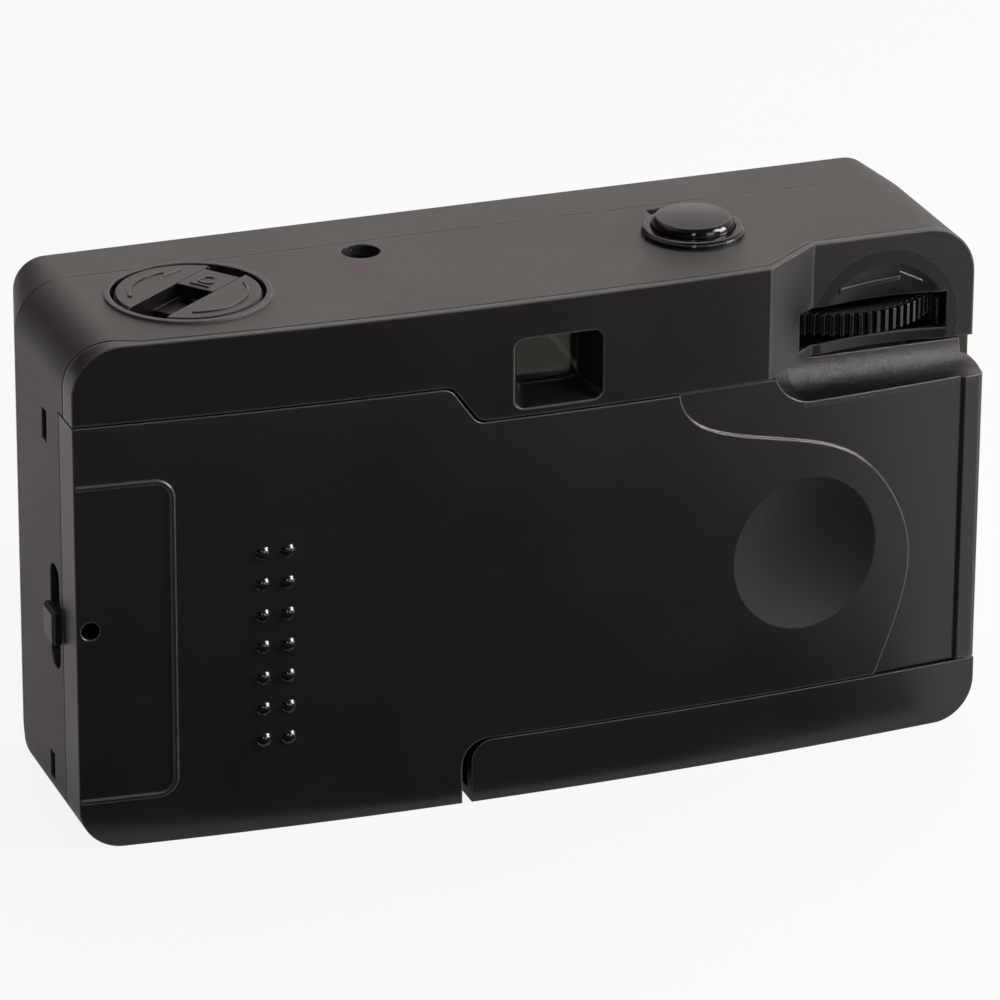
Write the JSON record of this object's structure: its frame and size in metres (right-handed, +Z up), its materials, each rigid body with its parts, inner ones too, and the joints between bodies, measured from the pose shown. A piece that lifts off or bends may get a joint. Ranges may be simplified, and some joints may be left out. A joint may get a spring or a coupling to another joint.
{
  "type": "compact film camera",
  "caption": "Pocket 35 mm film camera with built-in flash: bowed hinged back, ribbed thumb wheel, folding rewind crank, domed shutter button and battery door.",
  "frame": {"origin": "centre of the underside's outline, on the plane the camera stands on", "axes": "+Z up, +Y towards the back door and the eye, -Y the way the lens looks, +X towards the rewind knob, which is on the left when the camera is seen from behind"},
  "size_m": [0.1153, 0.0361, 0.0654],
  "materials": {
    "case_plastic": "fine satin grain",
    "panel_plastic": "fine satin grain",
    "door_plastic": "matte",
    "knob_plastic": "matte",
    "wheel_plastic": "ribbed",
    "button_plastic": "polished",
    "lens_ring_plastic": "polished",
    "inner_plastic": "matte",
    "dial_plastic": "matte",
    "steel": "plain",
    "spring_steel": "plain",
    "blade_black": "blackened",
    "lens_clear": "clear",
    "flash_clear": "clear",
    "reflector_bright": "mirror",
    "board_laminate": "lacquered",
    "capacitor_can": "sleeved",
    "lamp_orange": "clear orange",
    "battery_sleeve": "plain sleeve"
  },
  "bodies": {
    "case": {"main_shell": "case_plastic", "front_cover": "case_plastic", "rear_panel": "panel_plastic", "main_frame": "inner_plastic", "frame_screws": "steel", "door_hinge_pin": "steel", "battery_door_pin": "steel", "battery": "battery_sleeve", "battery_spring": "spring_steel", "battery_contact": "spring_steel", "button_collar": "button_plastic", "button_spring": "spring_steel", "lever_pin": "steel", "striker_spring": "spring_steel", "lens_holder": "lens_ring_plastic", "taking_lens": "lens_clear", "lens_ring": "lens_ring_plastic", "finder_housing": "inner_plastic", "finder_front_lens": "lens_clear", "eyepiece_lens": "lens_clear", "flash_window": "flash_clear", "flash_reflector": "reflector_bright", "flash_tube": "flash_clear", "flash_board": "board_laminate", "flash_capacitor": "capacitor_can", "trigger_coil": "capacitor_can", "ready_lamp": "lamp_orange", "wheel_pawl": "spring_steel", "counter_window": "lens_clear", "dial_clip": "steel"},
    "back_door": {"back_door": "door_plastic"},
    "latch": {"latch_slider": "knob_plastic"},
    "battery_door": {"battery_door": "door_plastic"},
    "rewind_turn": {"knob_washer": "steel"},
    "rewind": {"rewind_knob": "knob_plastic", "rewind_fork": "inner_plastic", "crank_pin": "steel"},
    "crank": {"rewind_crank": "knob_plastic"},
    "button": {"shutter_button": "button_plastic"},
    "release": {"release_lever": "inner_plastic"},
    "striker": {"striker_lever": "steel"},
    "blade": {"shutter_blade": "blade_black"},
    "wheel": {"thumb_wheel": "wheel_plastic", "take_up_spool": "inner_plastic"},
    "sprocket": {"sprocket": "inner_plastic"},
    "counter": {"counter_dial": "dial_plastic"},
    "flash_slider": {"flash_switch": "knob_plastic"},
    "rewind_release": {"rewind_button": "inner_plastic"}
  },
  "joints": [
    {"name": "back_door_hinge", "type": "hinge", "parent": "case", "child": "back_door", "pos_m": [-0.0553, 0.0132, 0.03], "axis": [0, 0, 1], "range_deg": [0, 115]},
    {"name": "latch_slide", "type": "slide", "parent": "case", "child": "latch", "axis": [0, 0, 1], "range_m": [0, 0.0034]},
    {"name": "battery_door_hinge", "type": "hinge", "parent": "case", "child": "battery_door", "pos_m": [-0.02, -0.0012, 0.00125], "axis": [-1, 0, 0], "range_deg": [0, 100]},
    {"name": "rewind_spin", "type": "hinge", "parent": "case", "child": "rewind_turn", "pos_m": [0.0388, 0.0017, 0.06], "axis": [0, 0, 1], "continuous": true},
    {"name": "rewind_lift", "type": "slide", "parent": "rewind_turn", "child": "rewind", "axis": [0, 0, 1], "range_m": [0, 0.006]},
    {"name": "crank_fold", "type": "hinge", "parent": "rewind", "child": "crank", "pos_m": [0.03358, -0.00233, 0.0625], "axis": [0.6112, -0.7915, 0], "range_deg": [0, 130]},
    {"name": "shutter_press", "type": "slide", "parent": "case", "child": "button", "axis": [0, 0, -1], "range_m": [0, 0.0012], "stiffness_N_per_m": 500, "springref_m": -0.0015, "deforming": ["button_spring"]},
    {"name": "release_swing", "type": "hinge", "parent": "case", "child": "release", "pos_m": [-0.0195, 0.0024, 0.0544], "axis": [0, -1, 0], "range_deg": [0, 17.3]},
    {"name": "striker_swing", "type": "hinge", "parent": "case", "child": "striker", "pos_m": [-0.0128, -0.001, 0.05], "axis": [0, 0, 1], "range_deg": [0, 6.95]},
    {"name": "blade_swing", "type": "hinge", "parent": "case", "child": "blade", "pos_m": [-0.01, -0.0112, 0.0435], "axis": [0, 1, 0], "range_deg": [0, 16.7]},
    {"name": "thumb_wheel_spin", "type": "hinge", "parent": "case", "child": "wheel", "pos_m": [-0.0422, 0.0004, 0.05], "axis": [0, 0, 1], "continuous": true},
    {"name": "sprocket_spin", "type": "hinge", "parent": "case", "child": "sprocket", "pos_m": [-0.026, 0.0073, 0.045], "axis": [0, 0, 1], "continuous": true},
    {"name": "counter_spin", "type": "hinge", "parent": "case", "child": "counter", "pos_m": [-0.0302, -0.0054, 0.06], "axis": [0, 0, 1], "continuous": true},
    {"name": "flash_switch_slide", "type": "slide", "parent": "case", "child": "flash_slider", "axis": [0, 0, 1], "range_m": [0, 0.0045]},
    {"name": "rewind_release_press", "type": "slide", "parent": "case", "child": "rewind_release", "axis": [0, 0, 1], "range_m": [0, 0.0015], "stiffness_N_per_m": 100, "springref_m": -0.002}
  ],
  "couplings": [
    {"joint": "release_swing", "follows": "shutter_press", "rad_per_m": 250},
    {"joint": "striker_swing", "follows": "shutter_press", "rad_per_m": 100},
    {"joint": "blade_swing", "follows": "shutter_press", "rad_per_m": 241.67}
  ]
}
